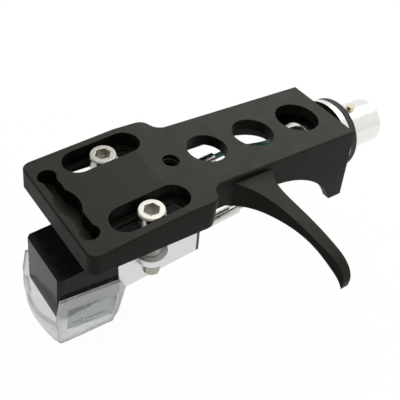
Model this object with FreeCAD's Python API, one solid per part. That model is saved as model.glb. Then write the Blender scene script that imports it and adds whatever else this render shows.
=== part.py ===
import FreeCAD, Part
import math
import os
from FreeCAD import Rotation, Vector

# A bayonet headshell for a turntable's arm, with a moving-magnet cartridge screwed under it.
# The origin is on the axis of the bayonet collar, at the shoulder that the arm's socket meets.
# +Y runs back along the collar, +Z is up and +X is the side of the finger lift. Millimetres.

# Shell: a black die casting, one piece with its finger lift
deck_z = 6.5
deck_rear_y = -2.4
front_y = -51.8
rear_half = 7.18
front_half = 9.94
step_rear_y = -29.9
step_length = 3.6
front_corner = 1.4
edge_chamfer = 0.22
skirt_z = 1.75
crease_y = -37.3
pitch = 6.2
plate = 3.1
skirt = 1.3
deck_plate = 1.8
side_wall = 1.4
wall_low_z = 1.4
arch_y = -19.6
arch_radius = 20.0
foot_z = -8.2
foot_rear_y = 0.5
rear_plate = 2.2
boss_radius = 6.9

# Finger lift, swept back and hooked down at its end
lift_y = -22.3
lift_reach = 18.3
lift_sweep = 15.0
lift_width = 2.4
lift_tip_width = 1.5
lift_flare_front = 4.6
lift_flare_rear = 3.2
lift_blend = 2.0
lift_top_z = 4.2
lift_fall = 5.5
lift_hook = 2.3
lift_rise = 1.7
lift_thick = 3.3
lift_waist = 0.6
lift_taper = 0.65
lift_steps = 16

# Openings in the deck
hole_radii = (3.08, 3.33, 3.60)
hole_places = (-27.21, -18.28, -8.78)
weight_hole_y = -33.65
weight_hole_r = 1.25
weight_relief = 0.5
slot_spacing = 12.7
pocket_width = 4.6
pocket_length = 11.9
pocket_y = -3.87
pocket_depth = 2.5
neck_width = 3.0
sight_half = 5.85
sight_y = -49.75
sight_lobe_r = 1.3
sight_waist = 0.95
sight_bulge_rear = 1.6
sight_bulge_front = 1.55
sight_depth = 2.3

# Bayonet fitting
collar_radius = 4.0
collar_length = 10.55
collar_bore = 3.2
flange_radius = 6.4
flange_thick = 1.2
flange_gap = 0.15
spigot_front = 3.2
fit_gap = 0.03
washer_radius = 6.3
washer_thick = 1.5
key_y = 5.1
key_radius = 0.75
key_proud = 0.85
insulator_front = 0.9
insulator_recess = 1.9
contact_radius = 0.5
contact_pitch = 3.0
contact_tail = 2.5
contact_proud = 1.0

# Cartridge, square to the front part's pitched underside
can_half = 5.0
can_front = -8.33
can_length = 13.8
can_height = 13.4
can_sheet = 0.8
lug_y = -3.7
lug_top = -8.8
lug_sheet = 1.2
lug_radius = 2.3
window_height = 5.0
cap_thick = 0.5
body_gap = 0.02
terminal_radius = 0.6
terminal_length = 4.8
terminal_pitch_x = 7.0
terminal_pitch_z = 5.5
terminal_z = -10.6

# Stylus assembly and its push-on guard
block_half = 4.9
block_top = -8.2
block_front_top = -17.2
block_front_bottom = -18.1
block_edge = 0.5
tunnel_half = 1.6
tunnel_depth = 2.0
tunnel_front = 1.0
tunnel_length = 6.6
lever_radius = 0.28
lever_length = 5.8
lever_tilt = 24.0
tip_length = 0.9
tip_radius = 0.16
damper_radius = 0.75
damper_thick = 1.1
guard_gap = 0.05
guard_wall = 0.5
guard_top_front = -11.9
guard_top_rear = -13.8
guard_rear = -8.3
guard_corner = -18.6
guard_nose = -20.0
guard_floor_z = -21.4
guard_heel = -10.1
guard_heel_z = -22.4
window_sunk = 0.2

# Cartridge screws
screw_radius = 1.25
screw_head_radius = 2.0
screw_head_height = 2.05
screw_length = 10.6
socket_flats = 2.0
socket_depth = 1.25

# Leads and their clips
clip_radius = 0.88
clip_length = 3.7
clip_depth = 2.6
clip_gap = 0.1
clip_seam = 0.3
long_clip_length = 6.8
long_clip_depth = 5.2
long_clip_gap = 1.6
lead_sag = 0.4
lead_bow = 1.1
lead_radius = 0.45
lead_names = ("red", "green", "white", "blue")
lead_corners = ((1, 1), (-1, 1), (1, -1), (-1, -1))


def box(x0, x1, y0, y1, z0, z1):
    return Part.makeBox(x1 - x0, y1 - y0, z1 - z0, Vector(x0, y0, z0))


def rod(radius, y0, y1, x=0.0, z=0.0):
    return Part.makeCylinder(radius, y1 - y0, Vector(x, y0, z), Vector(0, 1, 0))


def upright(radius, x, y, z0, z1):
    return Part.makeCylinder(radius, z1 - z0, Vector(x, y, z0))


def slot(width, length, x, y, z0, z1):
    """An upright slot with round ends, running along Y."""
    reach = (length - width) / 2
    block = box(x - width / 2, x + width / 2, y - reach, y + reach, z0, z1)
    ends = [upright(width / 2, x, y + side * reach, z0, z1) for side in (-1, 1)]
    return block.fuse(ends).removeSplitter()


def prism_x(points, x0, x1):
    """A side profile of (y, z) points, run across from x0 to x1."""
    corners = [Vector(x0, y, z) for y, z in points]
    face = Part.Face(Part.makePolygon(corners + corners[:1]))
    return face.extrude(Vector(x1 - x0, 0, 0))


def pitched(shape):
    """Turn a shape drawn square to the pitched front plate into its place."""
    turned = shape.copy()
    turned.translate(Vector(0, crease_y, deck_z))
    turned.rotate(Vector(0, crease_y, deck_z), Vector(1, 0, 0), pitch)
    return turned


def smooth(points):
    curve = Part.BSplineCurve()
    curve.interpolate([Vector(*p) for p in points])
    return curve.toShape()


def shell_outline():
    """The shell seen from above: narrow at the back, wide at the front, an S step between."""
    step_front = step_rear_y - step_length
    middle = Vector((rear_half + front_half) / 2, step_rear_y - step_length / 2, 0)
    turn = 2 * math.atan2(front_half - rear_half, step_length)
    bend = step_length / 2 / math.sin(turn)
    way_x, way_y = bend * (1 - math.cos(turn / 2)), bend * math.sin(turn / 2)
    rear_arc = Vector(rear_half + way_x, step_rear_y - way_y, 0)
    front_arc = Vector(front_half - way_x, step_front + way_y, 0)
    cut = front_corner * (1 - math.sqrt(0.5))
    starts = [Vector(rear_half, foot_rear_y, 0), Vector(rear_half, step_rear_y, 0), Vector(front_half, step_front, 0),
              Vector(front_half, front_y + front_corner, 0), Vector(front_half - front_corner, front_y, 0)]
    right = [
        Part.makeLine(starts[0], starts[1]),
        Part.Arc(starts[1], rear_arc, middle).toShape(),
        Part.Arc(middle, front_arc, starts[2]).toShape(),
        Part.makeLine(starts[2], starts[3]),
        Part.Arc(starts[3], Vector(front_half - cut, front_y + cut, 0), starts[4]).toShape(),
    ]
    left = [edge.mirror(Vector(0, 0, 0), Vector(1, 0, 0)) for edge in right]
    ends = [Part.makeLine(starts[4], Vector(-starts[4].x, front_y, 0)),
            Part.makeLine(Vector(-rear_half, foot_rear_y, 0), starts[0])]
    return Part.Face(Part.Wire(Part.__sortEdges__(right + left + ends)))


def side_profile():
    """The shell seen from the side: flat deck, pitched front, arch and raked rear foot."""
    half = front_half + 1
    drop = (crease_y - front_y) * math.tan(math.radians(pitch))
    arch_centre = wall_low_z - arch_radius
    foot_front = arch_y + math.sqrt(arch_radius ** 2 - (foot_z - arch_centre) ** 2)
    turn = math.radians(25)
    def at(y, z):
        return Vector(-half, y, z)
    corners = [at(foot_front, foot_z), at(foot_rear_y, foot_z), at(deck_rear_y, deck_z),
               at(crease_y, deck_z), at(front_y - 1, deck_z - drop - math.tan(math.radians(pitch))),
               at(front_y - 1, skirt_z), at(step_rear_y - step_length / 2, skirt_z),
               at(step_rear_y, wall_low_z), at(arch_y, wall_low_z)]
    edges = [Part.makeLine(a, b) for a, b in zip(corners, corners[1:])]
    middle = at(arch_y + arch_radius * math.sin(turn), arch_centre + arch_radius * math.cos(turn))
    edges.append(Part.Arc(corners[-1], middle, corners[0]).toShape())
    return Part.Face(Part.Wire(edges)).extrude(Vector(2 * half, 0, 0))


def finger_lift():
    """The lift: its view from above and its view from behind, crossed."""
    root = rear_half - 1.0
    slope = math.tan(math.radians(lift_sweep))
    steps = [k / lift_steps for k in range(lift_steps + 1)]
    def across(u):
        return root + lift_reach * u
    def blend(u):
        return math.exp(-lift_reach * u / lift_blend)
    def rear(u):
        return lift_y + lift_reach * slope * u + lift_flare_rear * blend(u)
    def front(u):
        width = lift_width - (lift_width - lift_tip_width) * u ** 4
        return lift_y + lift_reach * slope * u - width - lift_flare_front * blend(u)
    def top(u):
        return lift_top_z - lift_fall * u ** 2 - lift_hook * u ** 24 + lift_rise * blend(u)
    def under(u):
        waist = 1 - lift_waist * math.sin(math.pi * u ** 1.7)
        return top(u) - lift_rise * blend(u) - lift_thick * waist * (1 - lift_taper * u ** 12)
    low, high = foot_z, deck_z
    fore = [(across(u), front(u), low) for u in steps]
    aft = [(across(u), rear(u), low) for u in steps]
    plan = [smooth(fore), Part.makeLine(Vector(*fore[-1]), Vector(*aft[-1])),
            smooth(aft), Part.makeLine(Vector(*aft[0]), Vector(*fore[0]))]
    arm = Part.Face(Part.Wire(Part.__sortEdges__(plan))).extrude(Vector(0, 0, high - low))
    y0, y1 = fore[0][1] - 1, aft[-1][1] + 1
    upper = [(across(u), y0, top(u)) for u in steps]
    lower = [(across(u), y0, under(u)) for u in steps]
    profile = [smooth(upper), Part.makeLine(Vector(*upper[-1]), Vector(*lower[-1])),
               smooth(lower), Part.makeLine(Vector(*lower[0]), Vector(*upper[0]))]
    view = Part.Face(Part.Wire(Part.__sortEdges__(profile)))
    return arm.common(view.extrude(Vector(0, y1 - y0, 0)))


def sight_recess(z0, z1):
    """The bone-shaped recess behind the front edge."""
    def bow(x_half, y_end, y_mid):
        return Part.Arc(Vector(-x_half, y_end, z0), Vector(0, y_mid, z0), Vector(x_half, y_end, z0)).toShape()
    waist = sight_half * 0.58
    strip = box(-sight_half, sight_half, sight_y - sight_waist, sight_y + sight_waist, z0, z1)
    rear = bow(waist, sight_y, sight_y + sight_bulge_rear)
    front = bow(waist, sight_y, sight_y - sight_bulge_front)
    bulge = Part.Face(Part.Wire(Part.__sortEdges__([rear, front]))).extrude(Vector(0, 0, z1 - z0))
    lobes = [upright(sight_lobe_r, side * sight_half, sight_y, z0, z1) for side in (-1, 1)]
    return strip.fuse([bulge] + lobes)


def shell():
    outline = shell_outline()
    outline.translate(Vector(0, 0, foot_z - 1))
    body = outline.extrude(Vector(0, 0, deck_z - foot_z + 2)).common(side_profile())
    body = body.removeSplitter()
    rim = []
    for edge in body.Edges:
        middle = edge.valueAt((edge.FirstParameter + edge.LastParameter) / 2)
        if middle.z > deck_z - 2.2 and all(v.Z > deck_z - 2.2 for v in edge.Vertexes):
            if abs(middle.x) > 0.5 or middle.y > deck_rear_y - 1 or middle.y < front_y + 1:
                rim.append(edge)
    body = body.makeChamfer(edge_chamfer, rim)
    body = body.fuse(finger_lift())
    inner = rear_half - side_wall
    rear_inner = -flange_thick - rear_plate
    under = deck_z - deck_plate
    channel = box(-inner, inner, step_rear_y + 0.6, rear_inner, foot_z - 1, under)
    body = body.cut(channel)
    low = -deck_z
    recess = pitched(box(-front_half + skirt, front_half - skirt, -11.6, 5.6, low - 12, -plate))
    narrow = pitched(box(-inner, inner, 0, can_front + can_length + cap_thick + 3.0, low - 12, -plate))
    body = body.cut(recess.fuse(narrow))
    behind = box(-rear_half - 1, rear_half + 1, rear_inner, foot_rear_y + 1, foot_z - 1, 0)
    ring = rod(boss_radius, rear_inner - 1, foot_rear_y + 2)
    legs = box(-inner, inner, rear_inner - 1, foot_rear_y + 2, foot_z - 1, 0)
    body = body.cut(legs.common(behind).cut(ring))
    body = body.cut(box(-inner, inner, -flange_thick, foot_rear_y + 2, foot_z - 1, deck_z + 1))
    body = body.cut(rod(flange_radius + flange_gap, -flange_thick, foot_rear_y + 2))
    body = body.cut(rod(collar_radius + fit_gap, rear_inner - 1, 2))
    for radius, y in zip(hole_radii, hole_places):
        body = body.cut(upright(radius, 0, y, under - 1, deck_z + 1))
    body = body.cut(upright(weight_hole_r, 0, weight_hole_y, under - plate, deck_z + 1))
    body = body.cut(upright(weight_hole_r + weight_relief, 0, weight_hole_y, under - plate, under))
    for side in (-1, 1):
        x = side * slot_spacing / 2
        body = body.cut(pitched(slot(pocket_width, pocket_length, x, pocket_y, -pocket_depth, 3)))
        neck_length = pocket_length - pocket_width + neck_width
        body = body.cut(pitched(slot(neck_width, neck_length, x, pocket_y, -plate - 3, 3)))
    sight_drop = (crease_y - sight_y) * math.tan(math.radians(pitch))
    body = body.cut(sight_recess(deck_z - sight_drop - sight_depth, deck_z + 1))
    return body.removeSplitter()


def bayonet():
    """The turned collar, its washer, key, insulator and contacts."""
    front = -flange_thick - rear_plate - spigot_front
    collar = rod(collar_radius, front, collar_length)
    collar = collar.fuse(rod(flange_radius, -flange_thick + fit_gap, 0))
    collar = collar.cut(rod(collar_bore, front - 1, collar_length + 1))
    key_hole = upright(key_radius, 0, key_y, 0, collar_radius + 1)
    collar = collar.cut(key_hole)
    insulator_y0 = front - insulator_front
    insulator = rod(collar_bore - body_gap, insulator_y0, collar_length - insulator_recess)
    key = upright(key_radius - 0.01, 0, key_y, collar_bore, collar_radius + key_proud)
    washer = rod(washer_radius, fit_gap, washer_thick).cut(rod(collar_radius + fit_gap, -1, washer_thick + 1))
    half = contact_pitch / 2
    made = {"bayonet_collar": collar, "rubber_washer": washer, "locating_pin": key}
    for name, (across, level) in zip(lead_names, lead_corners):
        x, z = across * half, level * half
        y0 = insulator_y0 - contact_tail
        y1 = collar_length - insulator_recess + contact_proud
        pin = rod(contact_radius, y0, y1, x, z)
        insulator = insulator.cut(rod(contact_radius + 0.01, y0 - 1, y1 + 1, x, z))
        made["contact_" + name] = pin
        made["contact_clip_" + name] = clip(contact_radius, clip_length, clip_depth, x, insulator_y0 - clip_gap, z, -1)
    made["contact_insulator"] = insulator
    return made


def clip(pin_radius, length, depth, x, y, z, side):
    """A rolled lead clip that pushes on a pin; side says which way it runs along Y."""
    y0, y1 = sorted((y, y + side * length))
    mouth = y0 if side > 0 else y1 - depth
    sleeve = rod(clip_radius, y0, y1, x, z)
    sleeve = sleeve.cut(rod(pin_radius + body_gap, mouth, mouth + depth, x, z))
    return sleeve.cut(box(x - clip_seam / 2, x + clip_seam / 2, mouth, mouth + depth, z, z + clip_radius + 1))


def cartridge():
    """The shield can with its threaded lugs, the moulded body and the four terminals."""
    rear = can_front + can_length
    bottom = -plate - can_height
    can = box(-can_half, can_half, can_front, rear, bottom, -plate)
    inside = can_half - can_sheet
    can = can.cut(box(-inside, inside, can_front - 1, rear + 1, bottom - 1, -plate - can_sheet))
    for side in (-1, 1):
        x = side * slot_spacing / 2
        wall = sorted((side * inside, side * (can_half + 1)))
        window = box(wall[0], wall[1], lug_y - lug_radius, lug_y + lug_radius, lug_top, lug_top + window_height)
        can = can.cut(window)
        reach = sorted((side * inside, x))
        tab = box(reach[0], reach[1], lug_y - lug_radius, lug_y + lug_radius, lug_top - lug_sheet, lug_top)
        tab = tab.fuse(upright(lug_radius, x, lug_y, lug_top - lug_sheet, lug_top))
        can = can.fuse(tab).cut(upright(screw_radius + body_gap, x, lug_y, lug_top - lug_sheet - 1, -plate - 0.5))
    can = can.cut(box(-inside, inside, can_front - 1, rear + 1, bottom - 1, -plate - can_sheet))
    core = inside - body_gap
    body = box(-core, core, can_front, rear, bottom, -plate - can_sheet - body_gap)
    body = body.fuse(box(-can_half, can_half, rear + body_gap, rear + cap_thick, bottom, -plate))
    body = body.fuse(box(-core, core, rear - 1, rear + cap_thick, bottom, -plate - can_sheet - body_gap))
    made = {}
    half_x, half_z = terminal_pitch_x / 2, terminal_pitch_z / 2
    y0 = rear + cap_thick - 2.0
    for name, (across, level) in zip(lead_names, lead_corners):
        x, z = across * half_x, terminal_z + level * half_z
        pin = rod(terminal_radius, y0, rear + cap_thick + terminal_length, x, z)
        body = body.cut(rod(terminal_radius, y0, rear + cap_thick + 1, x, z))
        made["terminal_" + name] = pitched(pin)
        made["terminal_clip_" + name] = pitched(clip(terminal_radius, long_clip_length, long_clip_depth, x,
                                                     rear + cap_thick + long_clip_gap, z, 1))
    made["cartridge_can"] = pitched(can.removeSplitter())
    made["cartridge_body"] = pitched(body.removeSplitter())
    return made


def stylus():
    """The plug-in stylus block with its lever, damper and tip, and the clear guard over it."""
    bottom = -plate - can_height
    rear = can_front - body_gap
    profile = [(rear, bottom), (block_front_bottom, bottom), (block_front_top, block_top), (rear, block_top)]
    block = prism_x(profile, -block_half, block_half)
    front_edges = [e for e in block.Edges if len(e.Vertexes) == 2 and abs(e.Vertexes[0].Y - e.Vertexes[1].Y) > 0.1
                   and abs(e.Vertexes[0].Z - e.Vertexes[1].Z) > 1]
    block = block.makeChamfer(block_edge, front_edges)
    tunnel_y = block_front_bottom + tunnel_front
    tunnel_end = tunnel_y + tunnel_length
    tunnel = box(-tunnel_half, tunnel_half, tunnel_y, tunnel_end, bottom - 1, bottom + tunnel_depth)
    block = block.cut(tunnel)
    heel = Vector(0, tunnel_end, bottom + tunnel_depth / 2)
    down = math.radians(lever_tilt)
    way = Vector(0, -math.cos(down), -math.sin(down))
    damper = Part.makeCylinder(damper_radius, damper_thick, heel, way)
    damper = damper.cut(Part.makeCylinder(lever_radius, damper_thick + 2, heel - way, way))
    damper = damper.common(box(-tunnel_half, tunnel_half, tunnel_y, tunnel_end, bottom - 5, bottom + tunnel_depth))
    socket = Part.makeCylinder(lever_radius, 1.4, heel - way, way)
    block = block.cut(socket)
    lever = Part.makeCylinder(lever_radius, lever_length + 0.8, heel - way * 0.8, way)
    end = heel + way * (lever_length - 0.35)
    side = Vector(0, -math.sin(down), math.cos(down))
    tip = Part.makeCone(tip_radius, 0.03, tip_length, end - side * lever_radius * 0.9, Vector(0, math.sin(down) * 0.2, -1))
    tip = tip.cut(lever)
    guard = stylus_guard(bottom)
    return {"stylus_block": pitched(block), "cantilever": pitched(lever), "damper": pitched(damper),
            "stylus_tip": pitched(tip), "stylus_guard": pitched(guard)}


def guard_plan(half, nose_y, corner_y):
    """The guard seen from above, straight sides and a bowed nose."""
    low, high = guard_heel_z - 2, 0.0
    rear = guard_rear + 2
    bow = Part.Arc(Vector(-half, corner_y, low), Vector(0, nose_y, low), Vector(half, corner_y, low)).toShape()
    corners = [Vector(half, corner_y, low), Vector(half, rear, low), Vector(-half, rear, low), Vector(-half, corner_y, low)]
    sides = [Part.makeLine(a, b) for a, b in zip(corners, corners[1:])]
    return Part.Face(Part.Wire([bow] + sides)).extrude(Vector(0, 0, high - low))


def stylus_guard(bottom):
    """A clear moulded cup: two side cheeks with sunk windows, a floor and a bowed nose."""
    inner = can_half + guard_gap
    outer = inner + guard_wall
    lip = bottom - 0.35
    outside = [(guard_rear, guard_top_rear), (block_front_top - 0.4, guard_top_front), (block_front_bottom - 0.4, -15.4),
               (guard_corner, lip), (guard_nose, lip - 0.6), (guard_nose, guard_floor_z + 1.7),
               (guard_nose + 0.9, guard_floor_z + 0.4), (guard_nose + 2.4, guard_floor_z),
               (guard_heel, guard_heel_z), (guard_heel + 1.1, guard_heel_z + 1.8), (guard_rear + 0.75, -15.6)]
    hull = prism_x(outside, -outer, outer).common(guard_plan(outer, guard_nose, guard_corner))
    wall = guard_wall
    hull = hull.cut(box(-inner, inner, guard_nose - 1, guard_rear + 2, lip, 0))
    cavity = [(guard_nose - 1, lip + 1), (guard_nose - 1, guard_floor_z + 1.9), (guard_nose + 1.2, guard_floor_z + 0.8),
              (guard_nose + 2.6, guard_floor_z + wall), (guard_heel - 0.3, guard_heel_z + wall),
              (guard_heel + 0.4, guard_heel_z + 1.8), (guard_rear - 0.6, lip + 1)]
    hull = hull.cut(prism_x(cavity, -inner, inner).common(guard_plan(inner, guard_nose + wall, guard_corner + wall)))
    window = [(guard_rear - 0.5, -16.4), (guard_rear - 8.4, -14.2), (guard_rear - 9.1, -18.6), (guard_heel + 0.2, -20.5)]
    groove = [(-16.3, -17.7), (-11.2, -19.0), (-11.2, -19.3), (-16.3, -18.0)]
    for side in (-1, 1):
        for outline, sunk in ((window, window_sunk), (groove, window_sunk + 0.15)):
            x0, x1 = sorted((side * (outer - sunk), side * (outer + 1)))
            hull = hull.cut(prism_x(outline, x0, x1))
    return hull


def cartridge_screws():
    """Two socket-head screws, from the pocket floors down through the lugs."""
    made = []
    for side in (-1, 1):
        x = side * slot_spacing / 2
        seat = -pocket_depth
        screw = upright(screw_radius, x, lug_y, seat - screw_length, seat)
        head = upright(screw_head_radius, x, lug_y, seat, seat + screw_head_height)
        head = head.makeChamfer(0.22, [e for e in head.Edges if e.Vertexes[0].Z > seat + 1 and len(e.Vertexes) == 1])
        corner = socket_flats / math.sqrt(3)
        ring = [Vector(x + corner * math.cos(math.radians(60 * k + 20)), lug_y + corner * math.sin(math.radians(60 * k + 20)),
                       seat + screw_head_height - socket_depth) for k in range(7)]
        socket = Part.Face(Part.makePolygon(ring)).extrude(Vector(0, 0, socket_depth + 1))
        made.append(pitched(screw.fuse(head).cut(socket)))
    return {"cartridge_screws": Part.makeCompound(made)}


def lead_route(start, start_way, finish, bow):
    """Straight runs between two clips: square out of one, out and down in a bow, and square into the other."""
    gap = finish.y - start.y
    leave = start + start_way * (gap * 0.18)
    low = start * 0.63 + finish * 0.37 + Vector(bow, 0, -lead_sag)
    arrive = finish - Vector(0, gap * 0.2, 0)
    return [start, leave, low, arrive, finish]


def lead(points, radius):
    """A tube along straight runs joined by tangent arcs."""
    edges = []
    here = points[0]
    radii = []
    for before, corner, after in zip(points, points[1:], points[2:]):
        first, second = corner - before, after - corner
        turn = first.getAngle(second)
        short = min(first.Length, second.Length)
        bend = 0.45 * short / math.tan(turn / 2)
        radii.append(round(bend, 2))
        reach = bend * math.tan(turn / 2)
        way_in, way_out = first.normalize(), second.normalize()
        a, b = corner - way_in * reach, corner + way_out * reach
        inward = (way_out - way_in).normalize()
        centre = corner + inward * (bend / math.cos(turn / 2))
        edges.append(Part.makeLine(here, a))
        edges.append(Part.Arc(a, centre - inward * bend, b).toShape())
        here = b
    edges.append(Part.makeLine(here, points[-1]))
    path = Part.Wire(edges)
    start_way = (points[1] - points[0]).normalize()
    ring = Part.Wire(Part.makeCircle(radius, points[0], start_way))
    tube = path.makePipeShell([ring], True, True)
    return tube, path.Length, radii


def leads():
    result = {}
    front = -flange_thick - rear_plate - spigot_front - insulator_front - clip_gap - clip_length
    rear = can_front + can_length + cap_thick + long_clip_gap + long_clip_length
    along = Rotation(Vector(1, 0, 0), pitch).multVec(Vector(0, 1, 0))
    for name, (across, level) in zip(lead_names, lead_corners):
        mark = pitched(Part.Vertex(across * terminal_pitch_x / 2, rear, terminal_z + level * terminal_pitch_z / 2))
        start = mark.Point
        finish = Vector(across * contact_pitch / 2, front, level * contact_pitch / 2)
        tube, length, radii = lead(lead_route(start, along, finish, across * lead_bow), lead_radius)
        print("lead", name, "length", round(length, 2), "radii", radii,
              "volume", round(tube.Volume, 3), "expected", round(math.pi * lead_radius ** 2 * length, 3))
        result["lead_" + name] = tube
    return result


def main():
    os.makedirs("parts", exist_ok=True)
    made = {"headshell": shell()}
    made.update(bayonet())
    made.update(cartridge())
    made.update(stylus())
    made.update(cartridge_screws())
    made.update(leads())
    for name, shape in made.items():
        shape.exportStep("parts/" + name + ".step")
        print(name, shape.isValid(), len(shape.Solids), round(shape.Volume, 2))


main()
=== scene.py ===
import math

import bpy
from mathutils import Matrix, Vector


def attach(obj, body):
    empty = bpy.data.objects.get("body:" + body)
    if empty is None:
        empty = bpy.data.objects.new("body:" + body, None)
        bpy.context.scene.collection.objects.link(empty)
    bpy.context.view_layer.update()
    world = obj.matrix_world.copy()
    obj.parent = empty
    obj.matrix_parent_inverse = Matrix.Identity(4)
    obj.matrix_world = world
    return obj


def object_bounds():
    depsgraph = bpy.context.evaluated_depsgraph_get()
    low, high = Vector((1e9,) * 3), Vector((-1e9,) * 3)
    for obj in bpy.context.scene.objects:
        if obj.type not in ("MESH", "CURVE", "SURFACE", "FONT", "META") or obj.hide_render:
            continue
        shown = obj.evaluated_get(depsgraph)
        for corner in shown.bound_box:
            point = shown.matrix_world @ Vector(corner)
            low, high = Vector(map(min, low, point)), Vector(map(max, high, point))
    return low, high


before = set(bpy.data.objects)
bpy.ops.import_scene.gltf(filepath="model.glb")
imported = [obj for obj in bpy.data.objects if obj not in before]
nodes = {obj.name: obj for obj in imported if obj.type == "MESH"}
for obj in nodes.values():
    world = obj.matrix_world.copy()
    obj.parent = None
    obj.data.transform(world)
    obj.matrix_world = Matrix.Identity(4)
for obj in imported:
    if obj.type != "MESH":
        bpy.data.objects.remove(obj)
cad_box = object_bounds()


# The shell
# A die-cast alloy shell with its finger lift, all one casting. Its black paint has a fine,
# slightly olive grain. A painted sheen, stronger on the level faces than on the sides, stands in for
# light from above.

MM_PER_M = 1000.0


def new_material(name):
    """A material with its tree, its shader, and the object's own coordinates in millimetres."""
    mat = bpy.data.materials.new(name)
    mat.use_nodes = True
    tree = mat.node_tree
    place = tree.nodes.new("ShaderNodeTexCoord")
    scale = tree.nodes.new("ShaderNodeVectorMath")
    scale.operation = "SCALE"
    scale.inputs["Scale"].default_value = MM_PER_M
    tree.links.new(place.outputs["Object"], scale.inputs[0])
    return mat, tree, tree.nodes["Principled BSDF"], scale.outputs["Vector"]


def grain(tree, where, lumps, detail=3.0, stretch=(1.0, 1.0, 1.0)):
    """Noise of so many lumps a millimetre."""
    squeeze = tree.nodes.new("ShaderNodeVectorMath")
    squeeze.operation = "MULTIPLY"
    squeeze.inputs[1].default_value = stretch
    tree.links.new(where, squeeze.inputs[0])
    noise = tree.nodes.new("ShaderNodeTexNoise")
    noise.inputs["Scale"].default_value = lumps
    noise.inputs["Detail"].default_value = detail
    tree.links.new(squeeze.outputs["Vector"], noise.inputs["Vector"])
    return noise.outputs["Fac"]


def spread(tree, value, low, high, start=0.3, end=0.7):
    """The value's range from start to end, laid out from low to high."""
    remap = tree.nodes.new("ShaderNodeMapRange")
    remap.inputs["From Min"].default_value = start
    remap.inputs["From Max"].default_value = end
    remap.inputs["To Min"].default_value = low
    remap.inputs["To Max"].default_value = high
    tree.links.new(value, remap.inputs["Value"])
    return remap.outputs["Result"]


def tint(tree, share, first, second):
    """A colour between two; each is three numbers or an output of the tree."""
    mix = tree.nodes.new("ShaderNodeMix")
    mix.data_type = "RGBA"
    tree.links.new(share, mix.inputs["Factor"])
    for end, colour in (("A", first), ("B", second)):
        if isinstance(colour, tuple):
            mix.inputs[end].default_value = (*colour, 1.0)
        else:
            tree.links.new(colour, mix.inputs[end])
    return mix.outputs["Result"]


def colour_by(tree, shader, noise, dark, light):
    """A base colour that wanders from dark to light with the noise."""
    colour = tint(tree, spread(tree, noise, 0.0, 1.0), dark, light)
    tree.links.new(colour, shader.inputs["Base Color"])


def roughen_by(tree, shader, noise, smooth, rough):
    """A roughness that wanders from smooth to rough with the noise."""
    tree.links.new(spread(tree, noise, smooth, rough), shader.inputs["Roughness"])


def raise_by(tree, shader, height, depth, edge=0.0):
    """Bump of so many millimetres, over edges rounded off by edge millimetres."""
    bump = tree.nodes.new("ShaderNodeBump")
    bump.inputs["Distance"].default_value = depth / MM_PER_M
    bump.inputs["Strength"].default_value = 1.0
    tree.links.new(height, bump.inputs["Height"])
    if edge:
        soften = tree.nodes.new("ShaderNodeBevel")
        soften.samples = 6
        soften.inputs["Radius"].default_value = edge / MM_PER_M
        tree.links.new(soften.outputs["Normal"], bump.inputs["Normal"])
    tree.links.new(bump.outputs["Normal"], shader.inputs["Normal"])


def dress(mat, *names):
    """Gives the named CAD nodes their material."""
    for name in names:
        nodes[name].data.materials.clear()
        nodes[name].data.materials.append(mat)


painted_side_sheen, painted_level_sheen = 0.07, 0.27
olive_shine = (1.0, 1.0, 0.8, 1.0)

shell_mat, tree, shader, where = new_material("shell_paint")
speckle = grain(tree, where, lumps=9.0, detail=2.0)
cloud = grain(tree, where, lumps=0.35, detail=2.0)
colour_by(tree, shader, speckle, dark=(0.003, 0.003, 0.0024), light=(0.007, 0.007, 0.0055))
roughen_by(tree, shader, cloud, smooth=0.42, rough=0.5)
# Painted sheen: the reflection is made stronger on faces that point up than on the sides, standing in
# for light from above.
facing_up = tree.nodes.new("ShaderNodeSeparateXYZ")
tree.links.new(tree.nodes.new("ShaderNodeNewGeometry").outputs["Normal"], facing_up.inputs["Vector"])
tree.links.new(spread(tree, facing_up.outputs["Z"], painted_side_sheen, painted_level_sheen, start=0.3, end=0.9),
               shader.inputs["Specular IOR Level"])
shader.inputs["Specular Tint"].default_value = olive_shine
raise_by(tree, shader, speckle, depth=0.012, edge=0.12)
dress(shell_mat, "headshell")


# The thread in the weight hole
# A small hole behind the screw slots is tapped right through the deck, for the screw of an
# extra weight. The thread is cut in the casting itself.

def thread(name, mat, radius, depth, pitch, start, length, lean=Matrix.Identity(3)):
    """A ridge that winds up a hole or a screw; depth is negative inside a hole."""
    steps = 28
    root_half, crest_half = 0.36, 0.06
    section = ((0.0, -root_half), (depth, -crest_half), (depth, crest_half), (0.0, root_half))
    rings = int(length / pitch * steps)
    corners, faces = [], []
    for k in range(rings + 1):
        turn = k / steps
        angle = 2 * math.pi * turn
        run_out = min(1.0, 2 * turn, 2 * (rings - k) / steps)
        for out, along in section:
            r = radius + out * run_out
            corner = Vector((r * math.cos(angle), r * math.sin(angle), (turn + along) * pitch))
            corners.append((Vector(start) + lean @ corner) / MM_PER_M)
    for k in range(rings):
        for j in range(len(section) - 1):
            a = k * len(section) + j
            faces.append((a, a + 1, a + len(section) + 1, a + len(section)))
    mesh = bpy.data.meshes.new(name)
    mesh.from_pydata(corners, [], faces)
    mesh.materials.append(mat)
    piece = bpy.data.objects.new(name, mesh)
    bpy.context.collection.objects.link(piece)
    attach(piece, "root")


thread("weight_hole_thread", shell_mat, radius=1.26, depth=-0.2, pitch=0.5,
       start=(0.0, -33.65, 5.0), length=1.2)


# The bayonet collar
# The collar is turned from brass and plated with bright nickel. Its ring stands in the
# shell's back wall, a soft rubber washer lies against the ring, and a brass pin keys it.

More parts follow.
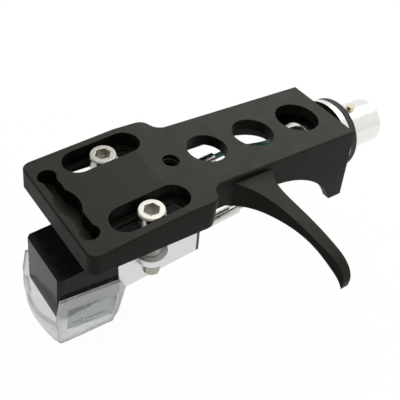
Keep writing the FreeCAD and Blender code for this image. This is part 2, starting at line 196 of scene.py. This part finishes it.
def plated(name, dark, light, rough, edge=0.06, lumps=3.0):
    """Bright plating: faint smears over very fine turning marks."""
    mat, tree, shader, where = new_material(name)
    smear = grain(tree, where, lumps, detail=4.0)
    colour_by(tree, shader, smear, dark, light)
    shader.inputs["Metallic"].default_value = 1.0
    roughen_by(tree, shader, smear, smooth=rough * 0.7, rough=rough * 1.3)
    raise_by(tree, shader, grain(tree, where, lumps=14.0, detail=2.0), depth=0.002, edge=edge)
    return mat


dress(plated("nickel", dark=(0.8, 0.79, 0.75), light=(0.88, 0.87, 0.84), rough=0.2), "bayonet_collar")
dress(plated("brass_pin", dark=(0.6, 0.52, 0.36), light=(0.78, 0.7, 0.52), rough=0.22), "locating_pin")

rubber, tree, shader, where = new_material("washer_rubber")
dust = grain(tree, where, lumps=5.0, detail=4.0)
colour_by(tree, shader, dust, dark=(0.012, 0.012, 0.012), light=(0.03, 0.03, 0.03))
roughen_by(tree, shader, dust, smooth=0.6, rough=0.8)
raise_by(tree, shader, dust, depth=0.01, edge=0.1)
dress(rubber, "rubber_washer", "damper")


# The contacts
# Four gilt pins run through a moulded black plug in the collar. A rolled clip sits on each
# one, and on each of the cartridge's own four terminals.

wires = ("red", "green", "white", "blue")

gilt = plated("gilt", dark=(0.7, 0.52, 0.22), light=(0.86, 0.68, 0.34), rough=0.24)
for kind in ("contact_", "contact_clip_", "terminal_"):
    dress(gilt, *[kind + wire for wire in wires])
tinned = plated("tinned", dark=(0.62, 0.61, 0.58), light=(0.8, 0.79, 0.76), rough=0.3)
dress(tinned, *["terminal_clip_" + wire for wire in wires])

plug_mat, tree, shader, where = new_material("moulded_black")
skin = grain(tree, where, lumps=6.0)
colour_by(tree, shader, skin, dark=(0.014, 0.014, 0.015), light=(0.028, 0.028, 0.03))
roughen_by(tree, shader, skin, smooth=0.35, rough=0.5)
raise_by(tree, shader, skin, depth=0.004, edge=0.06)
dress(plug_mat, "contact_insulator", "cartridge_body")


# The leads
# Four short leads in soft sleeves bow from the cartridge's clips to the collar's: red,
# green, white and blue, as cartridges are wired.

for wire, dark, light in (("red", (0.32, 0.02, 0.02), (0.45, 0.04, 0.03)),
                          ("green", (0.02, 0.13, 0.1), (0.05, 0.22, 0.17)),
                          ("white", (0.6, 0.6, 0.56), (0.75, 0.75, 0.72)),
                          ("blue", (0.012, 0.02, 0.07), (0.025, 0.045, 0.13))):
    mat, tree, shader, where = new_material("sleeve_" + wire)
    skin = grain(tree, where, lumps=4.0)
    colour_by(tree, shader, skin, dark, light)
    roughen_by(tree, shader, skin, smooth=0.38, rough=0.55)
    raise_by(tree, shader, skin, depth=0.01)
    dress(mat, "lead_" + wire)


# The cartridge
# The generator sits in a folded shield can of satin, tin-plated sheet with a threaded lug
# on each side. The can's head, close under the plate, is painted black: painted shade where the plate
# shadows it.

front_pitch = math.radians(6.2)
crease = Vector((0.0, -37.3, 6.5))
# Painted shade: above this line, close under the plate, the can is painted black and loses its metal
# shine.
shade_start, shade_blend = -7.5, 0.05
shade_black = (0.008, 0.008, 0.008)

can_mat, tree, shader, where = new_material("can_sheet")
rub = grain(tree, where, lumps=2.2, detail=4.0, stretch=(0.4, 1.0, 3.0))
plate_normal = Vector((0.0, -math.sin(front_pitch), math.cos(front_pitch)))
rise = tree.nodes.new("ShaderNodeVectorMath")
rise.operation = "DOT_PRODUCT"
rise.inputs[1].default_value = plate_normal
tree.links.new(where, rise.inputs[0])
shade_rise = crease.dot(plate_normal) + shade_start
# The mask of the painted shade, with a soft edge at the line.
in_shade = spread(tree, rise.outputs["Value"], 0.0, 1.0, shade_rise - shade_blend, shade_rise + shade_blend)
sheet = tint(tree, spread(tree, rub, 0.0, 1.0), (0.66, 0.66, 0.65), (0.78, 0.78, 0.77))
tree.links.new(tint(tree, in_shade, sheet, shade_black), shader.inputs["Base Color"])
tree.links.new(spread(tree, in_shade, 1.0, 0.0, 0.0, 1.0), shader.inputs["Metallic"])
tree.links.new(spread(tree, in_shade, 0.5, 0.05, 0.0, 1.0), shader.inputs["Specular IOR Level"])
roughen_by(tree, shader, rub, smooth=0.34, rough=0.48)
raise_by(tree, shader, rub, depth=0.004, edge=0.1)
dress(can_mat, "cartridge_can")


# The stylus
# The replaceable stylus is a glossy black moulding that pushes into the can. A thin alloy
# tube in a rubber damper carries the diamond.

block_mat, tree, shader, where = new_material("stylus_gloss")
haze = grain(tree, where, lumps=0.8, detail=4.0)
colour_by(tree, shader, haze, dark=(0.006, 0.006, 0.0065), light=(0.011, 0.011, 0.012))
roughen_by(tree, shader, haze, smooth=0.12, rough=0.2)
shader.inputs["Specular IOR Level"].default_value = 0.08
raise_by(tree, shader, grain(tree, where, lumps=10.0, detail=2.0), depth=0.0015, edge=0.08)
dress(block_mat, "stylus_block")

dress(plated("drawn_alloy", dark=(0.72, 0.72, 0.74), light=(0.84, 0.84, 0.86), rough=0.25), "cantilever")

gem, tree, shader, where = new_material("diamond")
glint = grain(tree, where, lumps=30.0, detail=2.0)
shader.inputs["Transmission Weight"].default_value = 0.8
shader.inputs["IOR"].default_value = 2.4
tree.links.new(tint(tree, glint, (0.75, 0.75, 0.7), (0.95, 0.95, 0.93)), shader.inputs["Base Color"])
roughen_by(tree, shader, glint, smooth=0.03, rough=0.12)
dress(gem, "stylus_tip")


# The stylus guard
# A push-on cup of clear plastic keeps the stylus from harm. It is lightly frosted by the
# mould, and the sunk window in each cheek has a grey-green tone.

window_x, window_band = 5.35, 0.12
frame_clear, window_clear = 0.78, 0.85

guard_mat, tree, shader, where = new_material("guard_clear")
frost = grain(tree, where, lumps=0.5, detail=2.0)
across = tree.nodes.new("ShaderNodeSeparateXYZ")
tree.links.new(where, across.inputs["Vector"])
off_centre = tree.nodes.new("ShaderNodeMath")
off_centre.operation = "ABSOLUTE"
tree.links.new(across.outputs["X"], off_centre.inputs[0])
window = tree.nodes.new("ShaderNodeMath")
window.operation = "COMPARE"
window.inputs[1].default_value = window_x
window.inputs[2].default_value = window_band
tree.links.new(off_centre.outputs["Value"], window.inputs[0])
in_window = window.outputs["Value"]
pale = tint(tree, spread(tree, frost, 0.0, 1.0), (0.95, 0.96, 0.94), (0.98, 0.99, 0.97))
tree.links.new(tint(tree, in_window, pale, (0.42, 0.49, 0.46)), shader.inputs["Base Color"])
tree.links.new(spread(tree, in_window, frame_clear, window_clear, 0.0, 1.0),
               shader.inputs["Transmission Weight"])
shader.inputs["IOR"].default_value = 1.46
roughen_by(tree, shader, frost, smooth=0.26, rough=0.38)
raise_by(tree, shader, grain(tree, where, lumps=1.6, detail=2.0), depth=0.004, edge=0.12)
dress(guard_mat, "stylus_guard")


# The cartridge screws
# Two small nickel-plated socket-head screws hold the cartridge. Their shanks are threaded
# all the way down to the lugs.

screw_x, screw_y, screw_end = 6.35, -3.7, -13.1

screw_mat = plated("screw_nickel", dark=(0.4, 0.38, 0.34), light=(0.52, 0.5, 0.45), rough=0.22,
                   edge=0.16, lumps=5.0)
dress(screw_mat, "cartridge_screws")
lean = Matrix.Rotation(front_pitch, 3, "X")
for side, word in ((-1, "far"), (1, "near")):
    foot = crease + lean @ Vector((side * screw_x, screw_y, screw_end))
    thread("screw_thread_" + word, screw_mat, radius=1.25, depth=0.09, pitch=0.45,
           start=foot, length=10.4, lean=lean)


# The floor and the light
# A plain white table under a soft sky that is brighter above and behind the shell, with one
# broad lamp high up there. The table can't be seen from below.

floor_half, floor_drop = 3.0, 0.004
white_share = 0.96

floor_mesh = bpy.data.meshes.new("floor")
floor_z = cad_box[0][2] - floor_drop
floor_mesh.from_pydata([(x * floor_half, y * floor_half, floor_z)
                        for x, y in ((-1, -1), (1, -1), (1, 1), (-1, 1))], [], [(0, 1, 2, 3)])
floor = bpy.data.objects.new("floor", floor_mesh)
bpy.context.collection.objects.link(floor)
floor_mat, tree, shader, where = new_material("floor_white")
paper = grain(tree, where, lumps=0.01)
tree.links.new(tint(tree, paper, (0.9, 0.9, 0.9), (0.93, 0.93, 0.93)), shader.inputs["Base Color"])
shader.inputs["Roughness"].default_value = 0.8
path = tree.nodes.new("ShaderNodeLightPath")
seen = path.outputs["Is Camera Ray"]
for ray in ("Is Glossy Ray", "Is Transmission Ray"):
    either = tree.nodes.new("ShaderNodeMath")
    either.operation = "MAXIMUM"
    tree.links.new(seen, either.inputs[0])
    tree.links.new(path.outputs[ray], either.inputs[1])
    seen = either.outputs["Value"]
glow = tree.nodes.new("ShaderNodeEmission")
glow.inputs["Strength"].default_value = 1.0
from_above = tree.nodes.new("ShaderNodeMixShader")
tree.links.new(spread(tree, seen, 0.0, white_share, 0.0, 1.0), from_above.inputs["Fac"])
tree.links.new(shader.outputs["BSDF"], from_above.inputs[1])
tree.links.new(glow.outputs["Emission"], from_above.inputs[2])
either_side = tree.nodes.new("ShaderNodeMixShader")
tree.links.new(tree.nodes.new("ShaderNodeNewGeometry").outputs["Backfacing"], either_side.inputs["Fac"])
tree.links.new(from_above.outputs["Shader"], either_side.inputs[1])
tree.links.new(tree.nodes.new("ShaderNodeBsdfTransparent").outputs["BSDF"], either_side.inputs[2])
tree.links.new(either_side.outputs["Shader"], tree.nodes["Material Output"].inputs["Surface"])
floor_mesh.materials.append(floor_mat)

bright_way = Vector((-0.35, 0.75, 0.56)).normalized()
dim_sky, bright_sky = 0.45, 0.95

world = bpy.data.worlds.new("studio")
world.use_nodes = True
sky = world.node_tree
toward = sky.nodes.new("ShaderNodeVectorMath")
toward.operation = "DOT_PRODUCT"
toward.inputs[1].default_value = bright_way
sky.links.new(sky.nodes.new("ShaderNodeTexCoord").outputs["Generated"], toward.inputs[0])
sky.links.new(spread(sky, toward.outputs["Value"], dim_sky, bright_sky, start=-0.4, end=0.5),
              sky.nodes["Background"].inputs["Strength"])
sky.nodes["Background"].inputs["Color"].default_value = (1.0, 1.0, 1.0, 1.0)
bpy.context.scene.world = world

lamp = bpy.data.lights.new("key", "AREA")
lamp.size = 0.6
lamp.energy = 1.6
key = bpy.data.objects.new("key", lamp)
key.location = (-0.12, 0.24, 0.53)
lit_spot = Vector((0.0, -0.02, 0.0))
key.rotation_euler = (lit_spot - key.location).to_track_quat("-Z", "Y").to_euler()
bpy.context.collection.objects.link(key)


# The camera
# It looks down on the near front corner at the photograph's angle, with a slight tilt.

view = bpy.data.cameras.new("camera")
view.lens = 55.48
view.sensor_width = 36.0
view.clip_start = 0.005
camera = bpy.data.objects.new("camera", view)
camera.location = (0.05205, -0.07723, 0.06127)
camera.rotation_euler = (math.radians(47.372), math.radians(-8.604), math.radians(53.559))
bpy.context.collection.objects.link(camera)
bpy.context.scene.camera = camera
bpy.context.scene.view_settings.view_transform = "Standard"
